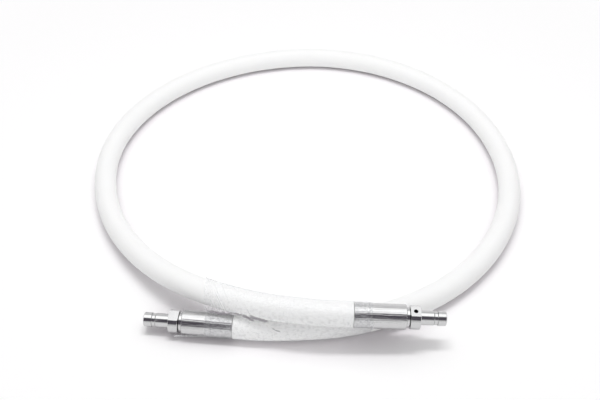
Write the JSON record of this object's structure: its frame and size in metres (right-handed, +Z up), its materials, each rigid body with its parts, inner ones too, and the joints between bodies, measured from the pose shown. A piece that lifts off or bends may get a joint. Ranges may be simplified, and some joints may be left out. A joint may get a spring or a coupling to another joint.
{
  "type": "hose assembly",
  "caption": "Flexible white-covered transfer hose with a crimped stainless tube-stub fitting on each end, lying in one loop with its crossed ends wrapped in clear film.",
  "frame": {"origin": "on the surface that the hose lies on, under the middle of its footprint", "axes": "+Z up, -Y towards the crossed ends at the front, +X towards the right fitting's tip"},
  "size_m": [0.4505, 0.4701, 0.0481],
  "materials": {
    "cover": "smooth, slightly matte white silicone rubber",
    "liner": "smooth milky fluoropolymer",
    "fibre": "braided yarn",
    "wire": "braided stainless wire",
    "steel": "turned and polished stainless steel",
    "film": "clear crinkled stretch film"
  },
  "bodies": {
    "root": {"hose_liner": "liner", "fibre_braid": "fibre", "wire_braid": "wire", "hose_cover": "cover", "left_ferrule": "steel", "left_insert": "steel", "right_ferrule": "steel", "right_insert": "steel", "film_wrap": "film"}
  },
  "joints": []
}
